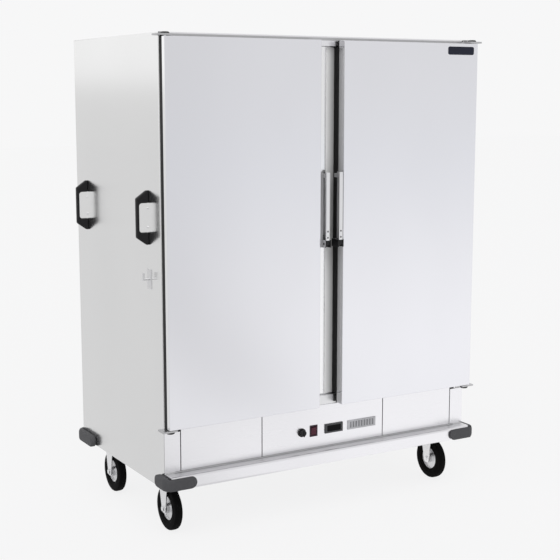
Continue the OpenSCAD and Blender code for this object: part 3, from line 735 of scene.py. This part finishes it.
# Painted shade: pale near the middle of the post, darker towards the seals.
tint(tree, tree.nodes["Principled BSDF"].inputs, remap(tree, aside, strip_inner, strip_outer),
     (1.0, 1.0, 1.0), (0.34, 0.34, 0.34))
post_low, post_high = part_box("centre_post")
bm = bmesh.new()
for side in (-1, 1):
    left, right = sorted((side * strip_inner, side * strip_outer))
    new_box((left, post_low.y - strip_thick, post_low.z + strip_gap),
            (right, post_low.y, post_high.z - strip_gap), 0.0003, into=bm)
add_piece("post_shade_strips", bm, post_shade_paint, "cabinet")
print("two strips on the centre post")

# %% [markdown]
# ### Door pans
# Each door is a pan of thin sheet, folded back on all four sides. The fold runs round the front
# face and down the four corners, and the rest of the CAD shape, with its pivot blocks, stays.
# The free edge, which faces the other door, is a darker steel, painted shade for the dark gap it
# mirrors, and the hem at the hinges is a paler, glossier steel, a painted highlight.

# %% Door pans
for word in ("left", "right"):
    name = "door_" + word + "_shell"
    low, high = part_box(name)
    bm = merged_copy(name)
    folds = [edge for edge in sharp_edges(bm) if along(edge, y=low.y)
             or any(along(edge, x=x, z=z) for x in (low.x, high.x) for z in (low.z, high.z))]
    soften(bm, folds, 0.0045, 4)
    pan = stand_in(name, bm, "pan")
    free = low.x if word == "right" else high.x
    # The free edge gets the darker steel, painted shade for the gap it mirrors.
    refinish(pan, free_edge_shade_steel, lambda place, normal: abs(place.x - free) < same_place
             and faces_along(normal, "x"))
    # The hinge hem gets the paler steel, a painted highlight.
    refinish(pan, hem_highlight_steel, on_side_plane)

# %% [markdown]
# ### Chassis rails
# The rails across the ends are square tubes with round corners. The CAD tubes are hollow, which
# nobody can see, so each one is a plain closed block here, with the corner radius of such tube.
# The front one ends in the ledge before the fascias, whose top is a darker steel, painted shade
# for the doors and fascias standing over it. The bumpers' flat backs lie against it, so only its
# front edges are round.

# %% Chassis rails
rail_size, rail_lift = 0.040, 0.007
rail_low, rail_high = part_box("chassis_end_rails")
sides_low, sides_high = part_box("chassis_side_rails")
bm = new_box((rail_low.x, rail_low.y, rail_low.z + rail_lift), (rail_high.x, front, rail_high.z))
soften(bm, [edge for edge in bm.edges if along(edge, y=rail_low.y)], 0.010, 5)
new_box((sides_low.x + rail_size, sides_high.y - rail_size, rail_low.z),
        (sides_high.x - rail_size, sides_high.y, rail_high.z), 0.004, 3, into=bm)
# The ledge's top gets the darker steel, painted shade under the doors and fascias.
refinish(stand_in("chassis_end_rails", bm), dull_shade_steel,
         lambda place, normal: normal.z > 0.99 and place.y < 0)

# %% [markdown]
# ### Corner bumpers
# The bumpers are soft extruded profiles, almost tubes, bent round the corners. Bevelling the
# outline would fail at the round ends, which are as narrow as the bumper is thick. Insetting the
# flat top and bottom in steps along a quarter of an ellipse rounds them evenly.

# %% Corner bumpers
bm = merged_copy("corner_bumpers")
round_high, round_in, steps = 0.014, 0.0057, 5
caps = [face for face in bm.faces if faces_along(face.normal, "z")]
for cap in caps:
    bmesh.ops.translate(bm, vec=(0, 0, -cap.normal.z * round_high), verts=cap.verts)
for step in range(steps):
    start, end = (math.pi / 2 * k / steps for k in (step, step + 1))
    bmesh.ops.inset_region(bm, faces=caps, thickness=round_in * (math.cos(start) - math.cos(end)),
                           depth=round_high * (math.sin(end) - math.sin(start)),
                           use_even_offset=True, use_boundary=True)
print(len(caps), "flat ends rounded")

# %% [markdown]
# Each bumper also ends in a half circle when it is seen from outside. A few cuts are made near
# the end, and the height there is drawn in along the circle.


# %% Round bumper ends
bumper_tall = 0.044
cuts = 6
least_share = 0.06  # keeps the very end from closing to a line
bumper_low, bumper_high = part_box("corner_bumpers")
bands = {-1: (bumper_high.z - bumper_tall, bumper_high.z),
         1: (bumper_low.z, bumper_low.z + bumper_tall)}
ends_across = bumper_high.x - 0.121
ends_along = {-1: bumper_low.y + 0.102, 1: bumper_high.y - 0.156}


def round_end(bm, axis, end, towards, side, row):
    """Rounds one end of a bumper. Row is -1 for the front pair and 1 for the back pair."""
    low_z, high_z = bands[row]
    reach, middle = (high_z - low_z) / 2, (low_z + high_z) / 2
    normal = Vector([float(a == axis) for a in "xyz"])
    for k in range(1, cuts + 1):
        depth = reach * (1 - math.cos(math.pi / 2 * k / cuts))
        cut(bm, normal * (end + towards * depth), normal)
    for vert in bm.verts:
        deep = (vert.co["xyz".index(axis)] - end) * towards
        in_band = low_z - same_place < vert.co.z < high_z + same_place
        on_corner = vert.co.x * side > 0 and vert.co.y * row > 0.2
        if -same_place < deep < reach and in_band and on_corner:
            share = math.sqrt(max(least_share, 1 - ((reach - max(deep, 0)) / reach) ** 2))
            vert.co.z = middle + (vert.co.z - middle) * share


for side in (-1, 1):
    for row in (-1, 1):
        round_end(bm, "x", side * ends_across, side, side, row)
    for row in (-1, 1):
        round_end(bm, "y", ends_along[row], row, side, row)
print(stand_in("corner_bumpers", bm, smooth=50).name, "made")

# %% [markdown]
# ### Tyres
# A tyre is a thick ring with a slightly crowned tread, round shoulders and a raised band on
# each side, and a lip on each side reaches in over the rim. Half of its profile is written down
# and mirrored, the ring is spun closed, and then the tight shoulders are bevelled.

# %% Tyres
for corner in corners:
    name = "caster_tyre_" + corner
    low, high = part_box(name)
    rim_low, rim_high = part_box("caster_centre_" + corner)
    centre = (low + high) / 2
    wide, outer = (high.x - low.x) / 2, (high.z - low.z) / 2
    inner = (rim_high.z - rim_low.z) / 2
    seat = [(inner, wide - 0.0066)]
    lip = [(inner - 0.0065, wide - 0.0066), (inner - 0.0070, wide - 0.0045),
           (inner - 0.0015, wide - 0.0018)]
    band = [(inner + 0.004, wide - 0.0015), (inner + 0.006, wide), (inner + 0.015, wide),
            (inner + 0.0165, wide - 0.0008)]
    tread = [(outer - 0.0009, wide - 0.0008), (outer, wide * 0.3)]
    half_profile = seat + lip + band + tread
    ring = half_profile + [(radius, -a) for radius, a in reversed(half_profile)]
    bm = turned(ring, centre, "x", 96, closed=True)
    shoulder = [edge for edge in sharp_edges(bm, 50)
                if all(math.hypot(vert.co.y - centre.y, vert.co.z - centre.z) > outer - 0.003
                       for vert in edge.verts)]
    soften(bm, shoulder, 0.007, 4)
    print(stand_in(name, bm, "turned").name, "radius", round(outer, 3))

# %% [markdown]
# ### Hinge caps
# The pins end in round caps on top of the upper hinge plates and below the lower ones, and a
# plastic washer lies between each lower plate and its door.

# %% Hinge caps and washers
pin_low, pin_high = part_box("hinge_pins")
door_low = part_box("door_right_shell")[0]
pin_head = 0.009
pin_x = pin_high.x - pin_head
pin_y = (pin_low.y + pin_high.y) / 2
upper_cap = [(0, 0.0060), (0.010, 0.0060), (0.0135, 0.0045), (0.015, 0.002), (0.015, 0), (0, 0)]
lower_cap = [(0, -0.0075), (0.011, -0.0075), (0.014, -0.006), (0.015, -0.003), (0.015, 0), (0, 0)]
washer = [(0.006, 0), (0.014, 0), (0.014, 0.0016), (0.006, 0.0016)]
bm = bmesh.new()
for x in (-pin_x, pin_x):
    turned(upper_cap, (x, pin_y, pin_high.z), "z", 40, into=bm)
    turned(lower_cap, (x, pin_y, pin_low.z), "z", 40, into=bm)
    turned(washer, (x, pin_y, door_low.z - 0.002), "z", 40, closed=True, into=bm)
add_piece("hinge_caps", bm, hinge_bush, "cabinet")
print("caps at x", round(pin_x, 3), "y", round(pin_y, 3))

# %% [markdown]
# ### Screws
# Two screws show between the feet of each push handle, and two more hold each door lever. They
# have low domed heads with a small round socket, so one profile, in shares of the radius and
# the height, makes them all.


# %% Screws
screw_profile = [(0, 0.6), (0.22, 0.6), (0.30, 1.0), (0.62, 0.92), (0.88, 0.62), (1.0, 0.2),
                 (1.0, 0), (0, 0)]


def screw(place, axis, radius, height, into):
    """A domed head that stands towards +axis or -axis, by the sign of height."""
    turned([(radius * r, height * a) for r, a in screw_profile], place, axis, 24, into=into)


handle_screw_r = 0.0045
screw_low, screw_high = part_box("handle_screws")
bm = bmesh.new()
for x, height in ((-half, -0.0025), (half, 0.0025)):
    for y in (screw_low.y + handle_screw_r, screw_high.y - handle_screw_r):
        for z in (screw_low.z + handle_screw_r, screw_high.z - handle_screw_r):
            screw((x, y, z), "x", handle_screw_r, height, bm)
print(stand_in("handle_screws", bm, "domed").name)

# %% Lever screws
lever_in, lever_out = 0.020, 0.035  # the lever's sides, from the middle of the cart
lever_screw_r = 0.0032
for side, word in ((-1, "left"), (1, "right")):
    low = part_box("door_" + word + "_lever")[0]
    middle = side * (lever_in + lever_out) / 2
    bm = bmesh.new()
    for z in (low.z + 0.030, low.z + 0.052):
        screw((middle, low.y, z), "y", lever_screw_r, -0.0014, bm)
    add_piece("door_" + word + "_lever_screws", bm, hinge_bush, "lever_" + word)
    print("lever screws at x", round(middle, 4))

# %% [markdown]
# ### Latches and levers
# Each latch is one black moulding with a plate set in it behind the lever. The plate is a
# mid-grey, painted shade for steel in the lever's shadow. The lever turns between two cheeks. The
# CAD model's cheeks are plain thick blocks with a bore, so the moulding is cut off in front of its
# back plate, closed again, and given a slimmer pair of cheeks and the rest that the lever's upper
# end lies on.

# %% Latch bodies
latch_cut = front - 0.0441
cheek_thick, inner_cheek_thick, cheek_tall = 0.0036, 0.0056, 0.028
rest_tall, rest_below_top = 0.014, 0.020
running_gap = 0.0004
for side, word in ((-1, "left"), (1, "right")):
    name = "door_" + word + "_latch_body"
    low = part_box(name)[0]
    lever_low, lever_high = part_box("door_" + word + "_lever")
    bm = merged_copy(name)
    cut(bm, (0, latch_cut, 0), (0, -1, 0), drop_far_side=True)
    bmesh.ops.holes_fill(bm, edges=[edge for edge in bm.edges if edge.is_boundary], sides=0)
    soften(bm, sharp_edges(bm), 0.0012)
    cheek_top = low.z + cheek_tall
    rest_front, rest_low = lever_low.y + 0.0075, lever_high.z - rest_below_top
    for near, far, tip, bottom, top in (
            (lever_in - running_gap - inner_cheek_thick, lever_in - running_gap, low.y, low.z,
             cheek_top),
            (lever_out + running_gap, lever_out + running_gap + cheek_thick, low.y, low.z,
             cheek_top),
            (lever_in + 0.002, lever_out + 0.002, rest_front, rest_low, rest_low + rest_tall)):
        left, right = sorted((side * near, side * far))
        new_box((left, tip, bottom), (right, latch_cut + 0.003, top), 0.0012, into=bm)
    # The latch plate's faces get the mid-grey, painted shade for steel behind the lever.
    refinish(stand_in(name, bm), latch_shade_grey,
             lambda place, normal: place.z > cheek_top or abs(place.x) > lever_out + 0.0038)

# %% [markdown]
# The levers are steel down to their hub, which is black. A cut along the top of the hub lets the
# two finishes meet in a line.

# %% Levers
hub_tall = 0.020
for word in ("left", "right"):
    name = "door_" + word + "_lever"
    hub_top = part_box(name)[0].z + hub_tall
    bm = merged_copy(name)
    soften(bm, sharp_edges(bm), 0.0022)
    cut(bm, (0, 0, hub_top), (0, 0, 1))
    refinish(stand_in(name, bm), black_nylon, lambda place, normal: place.z < hub_top)

# %% [markdown]
# ### Thermostat knob
# A thin round skirt lies on the panel, and the grip stands on it, fluted all round for the
# fingers. The grip has sixty upright lines, and the flutes are made by pulling two of every five
# inwards. A ridge across its end points at the dial, and a short shaft goes into the panel.

# %% Thermostat knob
low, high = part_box("thermostat_knob")
knob_x, knob_z = (low.x + high.x) / 2, (low.z + high.z) / 2
skirt_r = (high.x - low.x) / 2
skirt_front = front - 0.0075
grip_front = low.y + 0.003
grip_long = skirt_front - grip_front
flute_turn, flute_wide, flute_deep = 30, 11, 0.0012
skirt = [(0, 0), (skirt_r - 0.002, 0), (skirt_r, 0.0012), (skirt_r, 0.004), (0, 0.004)]
grip = [(0, 0), (skirt_r - 0.0062, 0), (skirt_r - 0.005, 0.001), (skirt_r - 0.004, grip_long),
        (0, grip_long)]
shaft = [(0, 0), (0.004, 0), (0.004, 0.02), (0, 0.02)]
bm = bmesh.new()
turned(skirt, (knob_x, skirt_front, knob_z), "y", 64, into=bm)
turned(grip, (knob_x, grip_front, knob_z), "y", 60, into=bm)
for vert in bm.verts:
    away = Vector((vert.co.x - knob_x, 0, vert.co.z - knob_z))
    turn = math.degrees(math.atan2(away.z, away.x)) % flute_turn
    on_grip = vert.co.y < skirt_front - 1e-5 and away.length > skirt_r - 0.0065
    if on_grip and turn < flute_wide:
        vert.co -= away.normalized() * flute_deep
ridge_reach = skirt_r - 0.004
new_box((knob_x - 0.002, low.y, knob_z - ridge_reach),
        (knob_x + 0.002, grip_front + 0.002, knob_z + ridge_reach), 0.0008, into=bm)
turned(shaft, (knob_x, skirt_front + 0.002, knob_z), "y", 24, into=bm)
print(stand_in("thermostat_knob", bm, "fluted").name, "radius", round(skirt_r, 4))

# %% [markdown]
# ### Display window
# The display is a grey case with a smoked window, which looks black while the display is off.

# %% Display window
low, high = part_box("temperature_display")
case_side, case_rim = 0.0095, 0.0055
bm = new_box((low.x + case_side, low.y, low.z + case_rim),
             (high.x - case_side, low.y + 0.003, high.z - case_rim), 0.0006)
add_piece("display_window", bm, gloss_black, "cabinet")
print("window", round((high.x - low.x - 2 * case_side) * 1000, 1), "mm wide")

# %% [markdown]
# ### Vent mesh
# Behind the vent's upright bars lies a fine mesh that keeps fluff out, a shade darker than the
# bars. It is a thin plate just in front of the panel.

# %% Vent mesh
low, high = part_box("vent_grille")
mesh_inset, mesh_front, mesh_back = 0.004, 0.0012, 0.0002
bm = new_box((low.x + mesh_inset, high.y - mesh_front, low.z + mesh_inset),
             (high.x - mesh_inset, high.y - mesh_back, high.z - mesh_inset))
add_piece("vent_mesh", bm, mesh_grey, "cabinet")
print("vent", [round(v, 3) for v in high - low])

# %% [markdown]
# ### Badge plate
# The badge is a blank enamelled plate with rounded corners and a thin raised border. Its four
# corners are rounded first, then the front edge is broken, and then the field inside the border
# is sunk.

# %% Badge plate
low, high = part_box("badge_plate")
border, border_slope, sunk = 0.0012, 0.0003, 0.0005
bm = new_box(low, high)
soften(bm, [edge for edge in bm.edges if abs(edge.verts[0].co.y - edge.verts[1].co.y) > same_place],
       0.007, 5)
face = min(bm.faces, key=lambda face: face.calc_center_median().y)
soften(bm, list(face.edges), 0.0004)
face = max((face for face in bm.faces if face.normal.y < -0.99), key=lambda face: face.calc_area())
for thickness, depth in ((border, 0), (border_slope, -sunk)):
    bmesh.ops.inset_region(bm, faces=[face], thickness=thickness, depth=depth,
                           use_even_offset=True)
print(stand_in("badge_plate", bm, "bordered").name, [round(v, 3) for v in high - low])

# %% [markdown]
# ### Power inlet pins
# The inlet on the back takes a mains lead, so three flat pins stand in its recess.

# %% Power inlet pins
low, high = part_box("power_inlet")
middle = (low + high) / 2
pin_half_wide, pin_half_tall = 0.001, 0.002
bm = bmesh.new()
for dx, dz in ((-0.0075, -0.003), (0.0075, -0.003), (0, 0.003)):
    x, z = middle.x + dx, middle.z + dz
    new_box((x - pin_half_wide, low.y + 0.002, z - pin_half_tall),
            (x + pin_half_wide, high.y - 0.001, z + pin_half_tall), 0.0004, into=bm)
add_piece("power_inlet_pins", bm, bright_steel, "cabinet")
print("three pins")
